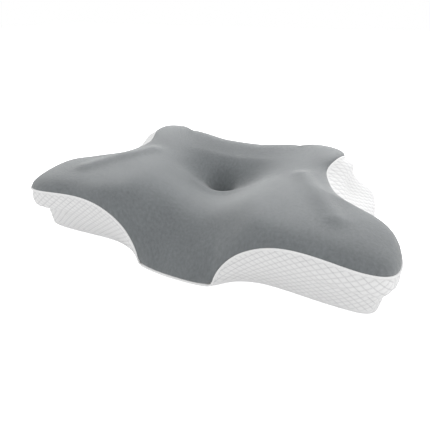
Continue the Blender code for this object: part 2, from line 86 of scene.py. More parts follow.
# ---- outline of the cover: seam and base edge in shares of half length, half depth and crown height
# seam x, seam y, seam z, base x, base y, lip (how far the wall swells and stays out before it tucks in),
# shelf (how far the wall steps out twice on its way down)
outlineStations = [
    (0.00, -1.000, 0.000, 0.000, -1.000, 0.0, 0.0),  # neck lobe
    (0.13, -0.990, 0.000, 0.130, -0.990, 0.0, 0.0),
    (0.21, -0.965, 0.065, 0.215, -0.965, 0.0, 0.0),  # corner of the neck lobe
    (0.24, -0.940, 0.280, 0.260, -0.910, 0.0, 0.0),
    (0.31, -0.910, 0.540, 0.330, -0.840, 0.0, 0.0),
    (0.42, -0.900, 0.740, 0.440, -0.795, 0.0, 0.0),  # front notch
    (0.54, -0.910, 0.840, 0.570, -0.795, 0.0, 0.0),
    (0.68, -0.920, 0.840, 0.690, -0.805, 0.1, 0.0),  # front edge of the arm
    (0.82, -0.940, 0.820, 0.810, -0.810, 0.5, 0.0),
    (0.93, -0.890, 0.780, 0.920, -0.800, 1.0, 0.0),
    (0.99, -0.730, 0.700, 0.978, -0.730, 1.0, 0.0),  # arm tip
    (1.00, -0.530, 0.670, 0.990, -0.540, 1.0, 0.0),
    (0.96, -0.390, 0.690, 0.975, -0.320, 0.8, 0.0),
    (0.84, -0.285, 0.740, 0.960, -0.100, 0.4, 0.0),
    (0.72, -0.115, 0.760, 0.953, 0.130, 0.0, 0.2),  # back edge of the arm
    (0.64, 0.150, 0.840, 0.965, 0.340, 0.0, 0.5),
    (0.62, 0.350, 0.890, 0.960, 0.535, 0.0, 0.9),  # back notch
    (0.68, 0.605, 0.930, 0.950, 0.755, 0.0, 1.0),
    (0.72, 0.870, 0.770, 0.880, 0.900, 0.0, 1.0),  # back corner
    (0.68, 1.000, 0.470, 0.750, 0.975, 0.0, 0.5),
    (0.61, 0.980, None, 0.650, 0.985, 0.0, 0.0),  # None is the top of the back strip
]
firstSide, tipSeam, lastSide = 2.0, 9.55, 21.0  # station numbers where the side panels start, meet and end

# heights are shares of the crown height, widths of the half length, and places of both halves
contour = {
    "neckDrop": 0.487, "neckStart": -0.297, "neckPower": 2.7, "neckHalfWidth": 0.318, "neckSquareness": 6.0,
    "saddleDrop": 0.339, "saddleHalfWidth": 0.247, "saddleFadeStart": -0.010, "saddleFade": 0.436,
    "bowlDrop": 0.235, "bowlHalfWidth": 0.417, "bowlHalfDepth": 0.513, "bowlCentre": 0.231,
    "dimpleDrop": 0.300, "dimpleRadius": 0.080, "dimpleY": 0.113, "dimplePower": 3.0,
    "lipRise": 0.045, "lipY": -0.040, "lipHalfWidth": 0.130, "lipHalfDepth": 0.080,
    "creaseRise": 0.035, "creaseInner": (0.500, 0.082), "creaseOuter": (0.697, -0.559), "creaseWidth": 0.053,
    "dishDrop": 0.035, "dishX": 0.833, "dishY": -0.267, "dishRadius": 0.107,
    "edgePower": 10, "backPower": 16, "backBulge": 0.030, "backStart": 0.15, "backRise": 0.30,
    "backEnd": 0.55, "backFade": 0.15,
}


def smoothStep(value):
    value = np.clip(value, 0, 1)
    return value * value * (3 - 2 * value)


def outlineCurve(stepsPerStation=48, softening=14, backShares=(0.87, 0.436, 0.0), blend=0.004):
    # Catmull-Rom curve through the stations and their mirror images, then evened by a bell-shaped average
    rows = []
    for seamX, seamY, seamZ, baseX, baseY, lip, shelf in outlineStations:
        height = stripTop if seamZ is None else max(seamZ * crownHeight, turnUp + seamGap)
        rows.append((seamX * halfLength, seamY * halfDepth, height,
                     baseX * halfLength, baseY * halfDepth, lip, shelf))
    for x in (tapeHigh[0] + seamGap, *(share * tapeHigh[0] for share in backShares)):
        rows.append((x, backY, stripTop, x, backY, 0.0, 0.0))
    rows = np.array(rows)
    full = np.vstack([rows, (rows[1:-1] * [-1, 1, 1, -1, 1, 1, 1])[::-1]])
    t = (np.arange(stepsPerStation) / stepsPerStation)[None, :, None]
    before, here, after, beyond = (np.roll(full, shift, 0)[:, None, :] for shift in (1, 0, -1, -2))
    curve = 0.5 * (2 * here + (after - before) * t + (2 * before - 5 * here + 4 * after - beyond) * t ** 2
                   + (3 * here - before - 3 * after + beyond) * t ** 3)
    curve = curve.reshape(-1, 7)
    reach = np.arange(-3 * softening, 3 * softening + 1)
    weights = np.exp(-0.5 * (reach / softening) ** 2)
    even = sum(np.roll(curve, -shift, 0) * weight for shift, weight in zip(reach, weights)) / weights.sum()
    flatBack = smoothStep((backY + blend - np.abs(curve[:, 1])) / blend) * (curve[:, 1] > 0.9 * backY)
    even[:, 5:] = np.clip(even[:, 5:], 0, 1)
    keep = (flatBack * (np.abs(curve[:, 0]) < tapeHigh[0] - blend))[:, None]
    return even * (1 - keep) + curve * keep, len(rows)


outline, stationCount = outlineCurve()
wholeLoop = 2 * (stationCount - 1)


def outlineAt(place):
    # the outline at any station number, by linear steps between the points of the fine curve
    fine = place * len(outline) / wholeLoop
    low = np.floor(fine).astype(int)
    part = (fine - low)[:, None]
    return outline[low % len(outline)] * (1 - part) + outline[(low + 1) % len(outline)] * part


def topHeight(x, y):
    # the crown less the neck ramp, saddle, head bowl and dimple, plus the crease along each arm
    c = contour
    a, b = np.abs(x) / halfLength, y / halfDepth
    ramp = np.clip((c["neckStart"] - b) / (1 + c["neckStart"]), 0, None) ** c["neckPower"]
    z = 1 - c["neckDrop"] * ramp * np.exp(-(a / c["neckHalfWidth"]) ** c["neckSquareness"])
    fade = 1 - smoothStep((b - c["saddleFadeStart"]) / c["saddleFade"])
    z = z - c["saddleDrop"] * fade * np.exp(-(a / c["saddleHalfWidth"]) ** 2.5)
    bowl = -(a / c["bowlHalfWidth"]) ** 2 - ((b - c["bowlCentre"]) / c["bowlHalfDepth"]) ** 2
    z = z - c["bowlDrop"] * np.exp(bowl)
    across = b * halfDepth / halfLength
    reach = np.hypot(a, across - c["dimpleY"] * halfDepth / halfLength) / c["dimpleRadius"]
    z = z - c["dimpleDrop"] * np.exp(-reach ** c["dimplePower"])
    z = z + c["lipRise"] * np.exp(-(a / c["lipHalfWidth"]) ** 2 - ((b - c["lipY"]) / c["lipHalfDepth"]) ** 2)
    inner = np.array(c["creaseInner"]) * (1, halfDepth / halfLength)
    run = np.array(c["creaseOuter"]) * (1, halfDepth / halfLength) - inner
    along = np.clip(((a - inner[0]) * run[0] + (across - inner[1]) * run[1]) / (run @ run), 0, 1)
    off = (a - inner[0] - along * run[0]) ** 2 + (across - inner[1] - along * run[1]) ** 2
    z = z + c["creaseRise"] * np.exp(-off / c["creaseWidth"] ** 2)
    off = (a - c["dishX"]) ** 2 + (across - c["dishY"] * halfDepth / halfLength) ** 2
    return crownHeight * (z - c["dishDrop"] * np.exp(-off / c["dishRadius"] ** 2))


def topSurface(edge, rings):
    # each ring is the seam outline shrunk to a share about the dimple; the height falls to the seam as a
    # superellipse, squarer along the back, where the cushion also swells a little over the seam
    c = contour
    share = rings[:, None]
    centreY = c["dimpleY"] * halfDepth
    x, y = share * edge[None, :, 0], centreY + share * (edge[None, :, 1] - centreY)
    a = np.abs(edge[:, 0]) / halfLength
    back = smoothStep((edge[:, 1] / halfDepth - 0.5) / 0.3)
    back = back * (1 - smoothStep((a - c["backEnd"]) / c["backFade"]))
    back = back * smoothStep((a - c["backStart"]) / c["backRise"])
    y = y + c["backBulge"] * halfDepth * back * share ** 8 * smoothStep((1 - share) / 0.05)
    drop = np.sqrt(1 - share ** (c["edgePower"] + (c["backPower"] - c["edgePower"]) * back))
    seamZ = np.broadcast_to(edge[:, 2], x.shape)
    return np.stack([x, y, seamZ + (topHeight(x, y) - seamZ) * drop], 2)


def planNormal(plan, closed=True):
    along = np.roll(plan, -1, 0) - np.roll(plan, 1, 0) if closed else np.gradient(plan, axis=0)
    normal = np.column_stack([along[:, 1], -along[:, 0]])
    return normal / np.maximum(np.linalg.norm(normal, axis=1), 1e-9)[:, None]


wall = {"bulge": 0.0030, "lipBulge": 0.0045, "lipReach": 0.50, "lipStart": 0.34, "lipLength": 0.20,
        "shelfShare": 0.35, "shelfEnd": 0.20, "flareStart": 0.30, "flareLength": 0.50}


def wallSurface(edge, t, closed=False):
    # plan goes from seam to base by a share of t: a quarter sine where it flares, two steps where there is
    # a shelf, a power where it tucks in, and late and fast under the lip of an arm tip
    seam, base, lip, shelf = edge[:, :3], edge[:, 3:5], edge[:, 5], edge[:, 6]
    flare = smoothStep(((base - seam[:, :2]) * seam[:, :2]).sum(1) / 0.002 + 0.5)
    t = t[:, None]
    steps = wall["shelfShare"] * np.sin(math.pi / 2 * np.clip(t / wall["shelfEnd"], 0, 1))
    steps = steps + (1 - wall["shelfShare"]) * smoothStep((t - wall["flareStart"]) / wall["flareLength"])
    flared = np.sin(math.pi / 2 * t) * (1 - shelf) + steps * shelf
    slope = flared * flare + t ** 1.2 * (1 - flare)
    share = slope * (1 - lip) + smoothStep((t - wall["lipStart"]) / wall["lipLength"]) * lip
    plan = seam[None, :, :2] + (base - seam[:, :2])[None] * share[..., None]
    height = seam[:, 2] - turnUp
    puff = wall["bulge"] * np.clip(height / 0.05, 0, 1) * np.sin(math.pi * t) ** 2 * (1 - lip)
    puff = puff + wall["lipBulge"] * lip * np.sin(math.pi * np.clip(t / wall["lipReach"], 0, 1)) ** 1.5
    outward = planNormal(seam[:, :2] * 0.5 + base * 0.5, closed)
    plan = plan + outward[None] * puff[..., None]
    return np.concatenate([plan, (seam[:, 2] - height * t)[..., None]], 2)


def gridNormals(grid, closed):
    # cross product of the two grid directions, pointing out of the pillow
    along = (np.roll(grid, -1, 1) - np.roll(grid, 1, 1)) if closed else np.gradient(grid, axis=1)
    down = np.gradient(grid, axis=0)
    normal = np.cross(down, along)
    return normal / np.maximum(np.linalg.norm(normal, axis=2), 1e-12)[..., None]


# ---- meshes from grids
def gridFaces(rows, columns, closed, first=0, flip=False):
    r, c = np.meshgrid(np.arange(rows - 1), np.arange(columns if closed else columns - 1), indexing="ij")
    a = first + r * columns + c
    b = first + r * columns + (c + 1) % columns
    quads = np.stack([a, a + columns, b + columns, b], -1).reshape(-1, 4)
    return quads[:, ::-1] if flip else quads


def borderFaces(rows, columns, first, second):
    # joins the edges of two open grids of the same size, one behind the other
    loop = np.concatenate([np.arange(columns), columns * np.arange(2, rows + 1) - 1,
                           rows * columns - 2 - np.arange(columns - 1), columns * np.arange(rows - 2, 0, -1)])
    ahead = np.roll(loop, -1)
    return np.stack([first + loop, first + ahead, second + ahead, second + loop], 1)


def makePiece(name, points, quads, fans=(), material=None, body="pillow", uv=None, marks=None):
    # quads and triangles go in together; marks are one number for each point, which a material can read
    mesh = bpy.data.meshes.new(name)
    tris = np.concatenate(fans).reshape(-1, 3) if len(fans) else np.zeros((0, 3), int)
    loops = np.concatenate([np.asarray(quads).ravel(), tris.ravel()]).astype(np.int32)
    sizes = np.concatenate([np.full(len(quads), 4), np.full(len(tris), 3)]).astype(np.int32)
    mesh.vertices.add(len(points))
    mesh.vertices.foreach_set("co", np.asarray(points, np.float32).ravel())
    mesh.loops.add(len(loops))
    mesh.loops.foreach_set("vertex_index", loops)
    mesh.polygons.add(len(sizes))
    mesh.polygons.foreach_set("loop_start", (np.cumsum(sizes) - sizes).astype(np.int32))
    mesh.update(calc_edges=True)
    if uv is not None:
        layer = mesh.uv_layers.new(name="cloth")
        layer.data.foreach_set("uv", np.asarray(uv, np.float32)[loops].ravel())
    if marks is not None:
        mark = mesh.attributes.new("mark", "FLOAT", "POINT")
        mark.data.foreach_set("value", np.asarray(marks, np.float32).ravel())
    mesh.validate()
    mesh.shade_smooth()
    piece = bpy.data.objects.new(name, mesh)
    scene.collection.objects.link(piece)
    if material:
        mesh.materials.append(material)
    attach(piece, body)
    return piece


def fan(centre, row, columns):
    here = row + np.arange(columns)
    return np.stack([np.full(columns, centre), here, row + (np.arange(columns) + 1) % columns], 1)


def facesOut(piece):
    # turns a closed shell's faces outwards, by the sign of its volume
    mesh = piece.data
    count = len(mesh.vertices)
    points = np.empty(count * 3, np.float32)
    mesh.vertices.foreach_get("co", points)
    points = points.reshape(-1, 3).astype(float)
    mesh.calc_loop_triangles()
    tris = np.empty(len(mesh.loop_triangles) * 3, np.int32)
    mesh.loop_triangles.foreach_get("vertices", tris)
    a, b, c = (points[tris.reshape(-1, 3)[:, k]] for k in range(3))
    if np.einsum("ij,ij->i", a, np.cross(b, c)).sum() < 0:
        mesh.flip_normals()
    return piece


# ---- materials
def nodeGroup(name, inputs, outputs):
    tree = bpy.data.node_groups.new(name, "ShaderNodeTree")
    for label, kind, value in inputs:
        socket = tree.interface.new_socket(label, in_out="INPUT", socket_type=kind)
        if value is not None:
            socket.default_value = value
    for label, kind in outputs:
        tree.interface.new_socket(label, in_out="OUTPUT", socket_type=kind)
    return tree, tree.nodes.new("NodeGroupInput"), tree.nodes.new("NodeGroupOutput")


def addNode(tree, kind, settings=None, **values):
    # values set sockets by name, with _ for a space, or by s and a number; a socket as a value is linked
    node = tree.nodes.new(kind)
    for key, value in (settings or {}).items():
        setattr(node, key, value)
    for key, value in values.items():
        numbered = key[0] == "s" and key[1:].isdigit()
        socket = node.inputs[int(key[1:]) if numbered else key.replace("_", " ")]
        if isinstance(value, bpy.types.NodeSocket):
            tree.links.new(value, socket)
        else:
            socket.default_value = value
    return node


def mathNode(tree, operation, first, second=0.0):
    return addNode(tree, "ShaderNodeMath", {"operation": operation}, s0=first, s1=second).outputs[0]


def knitLoops():
    # ribs of loops along V, a thread wide, broken by a fine noise; the heather is a slower noise
    inputs = [("Vector", "NodeSocketVector", None), ("Pitch", "NodeSocketFloat", 0.0012)]
    outputs = [("Height", "NodeSocketFloat"), ("Heather", "NodeSocketFloat")]
    tree, given, made = nodeGroup("knitLoops", inputs, outputs)
    scale = mathNode(tree, "DIVIDE", 0.314, given.outputs["Pitch"])
    ribs = addNode(tree, "ShaderNodeTexWave", {"bands_direction": "X"}, Vector=given.outputs["Vector"],
                   Scale=scale, Distortion=2.0, Detail=1.0, Detail_Scale=3.0)
    rows = addNode(tree, "ShaderNodeTexWave", {"bands_direction": "Y"}, Vector=given.outputs["Vector"],
                   Scale=mathNode(tree, "MULTIPLY", scale, 1.3), Distortion=2.0, Detail=1.0, Detail_Scale=3.0)
    fuzz = addNode(tree, "ShaderNodeTexNoise", Vector=given.outputs["Vector"],
                   Scale=mathNode(tree, "DIVIDE", 0.6, given.outputs["Pitch"]), Detail=3.0, Roughness=0.6)
    loops = mathNode(tree, "MULTIPLY", ribs.outputs["Fac"], rows.outputs["Fac"])
    height = mathNode(tree, "ADD", loops, fuzz.outputs["Fac"])
    heather = addNode(tree, "ShaderNodeTexNoise", Vector=given.outputs["Vector"],
                      Scale=mathNode(tree, "DIVIDE", 0.25, given.outputs["Pitch"]), Detail=4.0, Roughness=0.7)
    tree.links.new(height, made.inputs["Height"])
    tree.links.new(heather.outputs["Fac"], made.inputs["Heather"])
    return tree


def broadPatches():
    # slow, large patches of a little more or less tone, as handled cloth has
    inputs = [("Vector", "NodeSocketVector", None), ("Size", "NodeSocketFloat", 0.06)]
    tree, given, made = nodeGroup("broadPatches", inputs, [("Mask", "NodeSocketFloat")])
    noise = addNode(tree, "ShaderNodeTexNoise", Vector=given.outputs["Vector"],
                    Scale=mathNode(tree, "DIVIDE", 1.0, given.outputs["Size"]), Detail=2.0, Roughness=0.5)
    tree.links.new(noise.outputs["Fac"], made.inputs["Mask"])
    return tree


groups = {"knit": knitLoops(), "patches": broadPatches()}


def clothMaterial(name, light, dark, pitch, relief, roughness=0.9, sheen=0.25, patch=0.3, line=None,
                  useUv=True):
    # heather mixes the two tones, patches shift them slowly, and a third colour darkens the sewn lines by the
    # mark: partly the stitches, partly painted shade in the quilting grooves
    material = bpy.data.materials.new(name)
    material.use_nodes = True
    tree = material.node_tree
    shader = tree.nodes["Principled BSDF"]
    place = addNode(tree, "ShaderNodeTexCoord").outputs["UV" if useUv else "Object"]
    knit = addNode(tree, "ShaderNodeGroup", {"node_tree": groups["knit"]}, Vector=place, Pitch=pitch)
    patches = addNode(tree, "ShaderNodeGroup", {"node_tree": groups["patches"]}, Vector=place)
    tone = mathNode(tree, "ADD", mathNode(tree, "MULTIPLY", knit.outputs["Heather"], 1 - patch),
                    mathNode(tree, "MULTIPLY", patches.outputs["Mask"], patch))
    spread = addNode(tree, "ShaderNodeMapRange", Value=tone, From_Min=0.35, From_Max=0.65)
    colour = addNode(tree, "ShaderNodeMix", {"data_type": "RGBA"}, s0=spread.outputs["Result"])
    colour.inputs[6].default_value = (*dark, 1)
    colour.inputs[7].default_value = (*light, 1)
    result = colour.outputs[2]
    height = knit.outputs["Height"]
    if line:
        # painted shade: the mark mixes in a darker grey along the quilting grooves, for their stitches and
        # the shade that falls in them
        mark = addNode(tree, "ShaderNodeAttribute", {"attribute_name": "mark"}).outputs["Fac"]
        stitchAndShadeMix = addNode(tree, "ShaderNodeMix", {"data_type": "RGBA"}, s0=mark)
        tree.links.new(result, stitchAndShadeMix.inputs[6])
        stitchAndShadeMix.inputs[7].default_value = (*line, 1)
        result = stitchAndShadeMix.outputs[2]
    tree.links.new(result, shader.inputs["Base Color"])
    bump = addNode(tree, "ShaderNodeBump", Height=height, Strength=relief, Distance=pitch * 0.4)
    tree.links.new(bump.outputs["Normal"], shader.inputs["Normal"])
    shader.inputs["Roughness"].default_value = roughness
    shader.inputs["Specular IOR Level"].default_value = 0.2
    shader.inputs["Sheen Weight"].default_value = sheen
    shader.inputs["Sheen Roughness"].default_value = 0.5
    return material


greyKnit = clothMaterial("greyKnit", (0.212, 0.228, 0.236), (0.152, 0.164, 0.171), 0.0011, 0.5, sheen=0.5)
# the quilt's darker grey is partly stitch colour, partly painted shade in the sewn grooves
whiteQuilt = clothMaterial("whiteQuilt", (0.94, 0.94, 0.94), (0.89, 0.89, 0.89), 0.0010, 0.35, sheen=0.1,
                           line=(0.55, 0.55, 0.56))
whiteKnit = clothMaterial("whiteKnit", (0.94, 0.94, 0.94), (0.89, 0.89, 0.89), 0.0010, 0.35, sheen=0.1)
pipingCloth = clothMaterial("pipingCloth", (0.93, 0.93, 0.93), (0.88, 0.88, 0.88), 0.0008, 0.3, sheen=0.1)
linerCloth = clothMaterial("linerCloth", (0.78, 0.75, 0.68), (0.70, 0.67, 0.60), 0.0008, 0.4, sheen=0.1)
tapeCloth = clothMaterial("tapeCloth", (0.85, 0.85, 0.85), (0.78, 0.78, 0.78), 0.0005, 0.5, useUv=False)
labelSatin = clothMaterial("labelSatin", (0.88, 0.88, 0.88), (0.84, 0.84, 0.84), 0.0004, 0.3, roughness=0.45)


def foamMaterial():
    # open cells: a cell texture gives pits, and a slow noise a little yellowing
    material = bpy.data.materials.new("foam")
    material.use_nodes = True
    tree = material.node_tree
    shader = tree.nodes["Principled BSDF"]
    place = addNode(tree, "ShaderNodeTexCoord").outputs["Object"]
    cells = addNode(tree, "ShaderNodeTexVoronoi", Vector=place, Scale=900.0)
    patches = addNode(tree, "ShaderNodeGroup", {"node_tree": groups["patches"]}, Vector=place)
    colour = addNode(tree, "ShaderNodeMix", {"data_type": "RGBA"}, s0=patches.outputs["Mask"])
    colour.inputs[6].default_value = (0.86, 0.82, 0.68, 1)
    colour.inputs[7].default_value = (0.90, 0.88, 0.78, 1)
    tree.links.new(colour.outputs[2], shader.inputs["Base Color"])
    bump = addNode(tree, "ShaderNodeBump", Height=cells.outputs["Distance"], Strength=0.5, Distance=0.0005)
    tree.links.new(bump.outputs["Normal"], shader.inputs["Normal"])
    shader.inputs["Roughness"].default_value = 0.95
    return material


def hardMaterial(name, colour, roughness, metallic, grain):
    # fine scratches along X, and duller patches where fingers and the track rub
    material = bpy.data.materials.new(name)
    material.use_nodes = True
    tree = material.node_tree
    shader = tree.nodes["Principled BSDF"]
    place = addNode(tree, "ShaderNodeTexCoord").outputs["Object"]
    stretched = addNode(tree, "ShaderNodeMapping", Vector=place, Scale=(grain * 0.1, grain, grain))
    scratches = addNode(tree, "ShaderNodeTexNoise", Vector=stretched.outputs["Vector"], Scale=1.0, Detail=4.0)
    patches = addNode(tree, "ShaderNodeGroup", {"node_tree": groups["patches"]}, Vector=place, Size=0.004)
    worn = addNode(tree, "ShaderNodeMapRange", Value=patches.outputs["Mask"], To_Min=roughness * 0.8,
                   To_Max=roughness * 1.4)
    tree.links.new(worn.outputs["Result"], shader.inputs["Roughness"])
    tone = addNode(tree, "ShaderNodeMix", {"data_type": "RGBA"}, s0=scratches.outputs["Fac"])
    tone.inputs[6].default_value = (*[value * 0.9 for value in colour], 1)
    tone.inputs[7].default_value = (*colour, 1)
    tree.links.new(tone.outputs[2], shader.inputs["Base Color"])
    bump = addNode(tree, "ShaderNodeBump", Height=scratches.outputs["Fac"], Strength=0.2, Distance=0.0001)
    tree.links.new(bump.outputs["Normal"], shader.inputs["Normal"])
    shader.inputs["Metallic"].default_value = metallic
    return material


foam = foamMaterial()
zipMetal = hardMaterial("zipMetal", (0.72, 0.72, 0.73), 0.3, 1.0, 3000)
zipNylon = hardMaterial("zipNylon", (0.86, 0.86, 0.86), 0.4, 0.0, 3000)
print("materials ready")

# ---- nested layers: every one is the cover's outer face moved inwards
nesting = {"gap": 0.0005, "liner": 0.0010, "cover": 0.0030, "edgeLift": 0.25, "levelHeight": 0.010,
           "plainRing": 0.5, "slopeStep": 0.0002, "round": 0.0030}


def dressedRings(count):
    # rings crowd towards the seam, where the surface turns down steeply
    return np.sin(math.pi / 2 * np.linspace(0, 1, count + 1)[1:] ** 0.9)


def seamLevel(grid, row):
    # how far the inward direction lies level: wholly where there is no wall under the seam
    return nesting["levelHeight"] / (nesting["levelHeight"] + grid[row, :, 2] - turnUp)


def outerGrid(columns, rings, steps):
    # rows from the dimple over the seam (row rings - 1) to the turned-up edge, with their inward directions
    edge = outlineAt(np.arange(columns) * wholeLoop / columns)
    shares = dressedRings(rings)
    wallRows = wallSurface(edge, np.linspace(0, 1, steps + 1)[1:], True)
    grid = np.concatenate([topSurface(edge, shares), wallRows])
    inward = -gridNormals(grid, True)
    plain = int((shares < nesting["plainRing"]).sum())
    x, y, step = grid[:plain, :, 0], grid[:plain, :, 1], nesting["slopeStep"]
    inward[:plain, :, 0] = (topHeight(x + step, y) - topHeight(x - step, y)) / (2 * step)
    inward[:plain, :, 1] = (topHeight(x, y + step) - topHeight(x, y - step)) / (2 * step)
    inward[:plain, :, 2] = -1
    flat = seamLevel(grid, rings - 1)[:, None]
    for row in range(rings - 1, len(grid)):
        level = np.column_stack([-planNormal(grid[row, :, :2]), np.zeros(columns)])
        share = 1.0 if row == len(grid) - 1 else flat
        inward[row] = inward[row] * (1 - share) + level * share
    return grid, inward / np.linalg.norm(inward, axis=2)[..., None]


def movedIn(grid, inward, rings, depth):
    # the rows moved inwards by a depth, and the underside lifted by it: z rises by a share of the lift
    moved = grid + inward * depth
    flat = seamLevel(grid, rings - 1)
    t = np.linspace(0, 1, len(grid) - rings + 1)[:, None]
    moved[rings - 1:, :, 2] += (depth - turnUp * (1 - nesting["edgeLift"])) * (t * (1 - flat) + flat)
    base = moved[-1, :, :2]
    inside = -planNormal(base)
    under = []
    for turn in np.linspace(0.3, 1.57, 5):
        height = np.full(len(base), depth + turnUp * nesting["edgeLift"] * (1 - math.sin(turn)))
        under.append(np.column_stack([base + inside * nesting["round"] * (1 - math.cos(turn)), height]))
    under += [np.column_stack([base * ring, np.full(len(base), depth)]) for ring in (0.9, 0.7, 0.5, 0.25)]
    return moved, np.array(under)


def crownPoint(depth=0.0):
    y = contour["dimpleY"] * halfDepth
    return np.array([[0.0, y, float(topHeight(np.array(0.0), np.array(y))) - depth]])


def shellPiece(name, outer, inner, tips, material, slot):
    # a shell between two sets of rows that start round a pole, closed along its last row
    rows, columns = outer.shape[:2]
    points = np.concatenate([outer.reshape(-1, 3), inner[::-1].reshape(-1, 3), tips])
    last = len(points)
    fans = [fan(last - 2, 0, columns)[:, ::-1], fan(last - 1, (2 * rows - 1) * columns, columns)]
    quads = gridFaces(2 * rows, columns, True)
    return facesOut(makePiece(name, points, quads, fans, material, uv=points[:, :2]))


# ---- grey top panel
topPanel = {"columns": 640, "rings": 84, "thickness": 0.0026, "puckerHeight": 0.0005, "puckerReach": 0.010,
            "puckerSpacing": 0.012, "puckerStart": 0.003, "flat": (0.66, 0.50), "area": 0.22}


def seamPuckers(grid):
    # small folds that run in from the seam: a sine along the seam, which fades away from it
    seam = grid[-1]
    travel = np.concatenate([[0], np.cumsum(np.linalg.norm(np.diff(seam, axis=0), axis=1))])
    turns = travel / travel[-1] * 2 * math.pi
    count = round(travel[-1] / topPanel["puckerSpacing"])
    folds = np.sin(count * turns + 2.0 * np.sin(7 * turns)) * (0.55 + 0.45 * np.sin(5 * turns + 1))
    inside = np.linalg.norm(grid - seam, axis=2)
    fade = np.exp(-inside / topPanel["puckerReach"]) * smoothStep(inside / topPanel["puckerStart"])
    return topPanel["puckerHeight"] * folds * fade


def topPiece():
    columns, rings = topPanel["columns"], topPanel["rings"]
    grid, inward = outerGrid(columns, rings, 4)
    grid, inward = grid[:rings], inward[:rings]
    outer = grid - inward * seamPuckers(grid)[..., None]
    inner = grid + inward * topPanel["thickness"]
    tips = np.concatenate([crownPoint(), crownPoint(topPanel["thickness"])])
    piece = shellPiece("topPanel", outer, inner, tips, greyKnit, "grey_knit")
    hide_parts("cover_top_panel")
    return piece


top = topPiece()
print("top panel ready")

# ---- foam core and its liner
inside = {"columns": 480, "rings": 60, "steps": 30, "linerGap": 0.0006,
          "linerFlat": (0.72, 0.54), "linerArea": 0.34, "baseFlat": (0.60, 0.39), "baseArea": 0.19}


def insidePieces():
    columns, rings, steps = inside["columns"], inside["rings"], inside["steps"]
    grid, inward = outerGrid(columns, rings, steps)
    linerOut = nesting["cover"] + nesting["gap"]
    linerIn = linerOut + nesting["liner"]
    foamOut = linerIn + nesting["gap"]
    rows = np.concatenate(movedIn(grid, inward, rings, foamOut))
    points = np.concatenate([rows.reshape(-1, 3), crownPoint(foamOut), [[0, 0, foamOut]]])
    last = len(points)
    fans = [fan(last - 2, 0, columns)[:, ::-1], fan(last - 1, (len(rows) - 1) * columns, columns)]
    quads = gridFaces(len(rows), columns, True)
    core = facesOut(makePiece("foamCore", points, quads, fans, foam))
    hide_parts("foam_core")
    outer, inner = (movedIn(grid, inward, rings, depth) for depth in (linerOut, linerIn))
    upper = [side[0].copy() for side in (outer, inner)]
    for side in upper:
        side[-1, :, 2] += inside["linerGap"]
    capTips = np.concatenate([crownPoint(linerOut), crownPoint(linerIn)])
    cap = shellPiece("linerTop", *upper, capTips, linerCloth, "liner_mesh")
    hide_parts("inner_liner_top")
    lower = [np.concatenate([side[0][-1:], side[1]])[::-1] for side in (outer, inner)]
    baseTips = np.array([[0, 0, linerOut], [0, 0, linerIn]])
    base = shellPiece("linerBase", *lower, baseTips, linerCloth, "liner_mesh")
    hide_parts("inner_liner_bottom")
    return core


core = insidePieces()
print("foam core and liner ready")

# ---- quilted side panels
# stitchAndShadeTone sets how strongly the grooves are darkened: partly stitches, partly painted shade
quilt = {"spacing": 0.0013, "diamond": 0.0125, "rise": 1.15, "puff": 0.0011, "groove": 0.0008,
         "stitchAndShadeTone": 0.7, "edgeFade": 0.006, "thickness": 0.0026, "clearance": 0.0004,
         "seamSink": 0.0010, "seamReach": 0.0030, "fill": 0.5}


def sidePiece(name, node, start, end):
    # the wall on a fine grid, pushed out between two families of sewn diagonals
    coarse = np.linspace(start, end, 400)
    edge = outlineAt(coarse)
    middle = edge[:, :2] * 0.5 + edge[:, 3:5] * 0.5
    travel = np.concatenate([[0], np.cumsum(np.linalg.norm(np.diff(middle, axis=0), axis=1))])
    columns = max(24, int(travel[-1] / quilt["spacing"]))
    even = np.linspace(quilt["clearance"], travel[-1] - quilt["clearance"], columns)
    edge = outlineAt(np.interp(even, travel, coarse))
    rows = int(crownHeight / quilt["spacing"])
    height = np.maximum(edge[:, 2] - turnUp, 1e-4)
    margin = np.minimum(quilt["clearance"] / height, 0.3)
    t = np.linspace(0, 1, rows)
    grid = wallSurface(edge, t)
    grid[..., 2] = edge[:, 2] - height * (margin + t[:, None] * (1 - 2 * margin))
    lengths = np.linalg.norm(np.diff(grid, axis=0), axis=2)
    down = np.concatenate([np.zeros((1, columns)), np.cumsum(lengths, axis=0)])
    u = np.broadcast_to(even, down.shape)
    level = (crownHeight - grid[..., 2]) * quilt["rise"]
    first, second = (u + level) / quilt["diamond"], (u - level) / quilt["diamond"]
    ridges = np.abs(np.sin(math.pi * first)) * np.abs(np.sin(math.pi * second))
    lines = np.minimum(np.abs(first - np.round(first)), np.abs(second - np.round(second))) * quilt["diamond"]
    sides = np.minimum(even, travel[-1] - even)[None]
    fade = smoothStep(np.minimum(np.minimum(down, down[-1] - down), sides) / quilt["edgeFade"])
    normal = gridNormals(grid, False)
    sink = quilt["seamSink"] * np.exp(-sides / quilt["seamReach"])
    relief = quilt["puff"] * (ridges ** 0.45 - 0.5) * fade - sink
    outer = grid + normal * relief[..., None]
    inner = grid - normal * quilt["thickness"]
    points = np.concatenate([outer.reshape(-1, 3), inner.reshape(-1, 3)])
    size = rows * columns
    quads = np.concatenate([gridFaces(rows, columns, False), gridFaces(rows, columns, False, size, True),
                            borderFaces(rows, columns, 0, size)])
    uv = np.tile(np.column_stack([u.ravel(), down.ravel()]), (2, 1))
    # painted shade: marks darken a narrow band along each sewn groove, partly as stitches, partly as the
    # shade in the groove
    marks = np.tile((np.exp(-(lines / quilt["groove"]) ** 2) * fade * quilt["stitchAndShadeTone"]).ravel(), 2)
    piece = facesOut(makePiece(name, points, quads, (), whiteQuilt, uv=uv, marks=marks))
    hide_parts(node)
    return piece


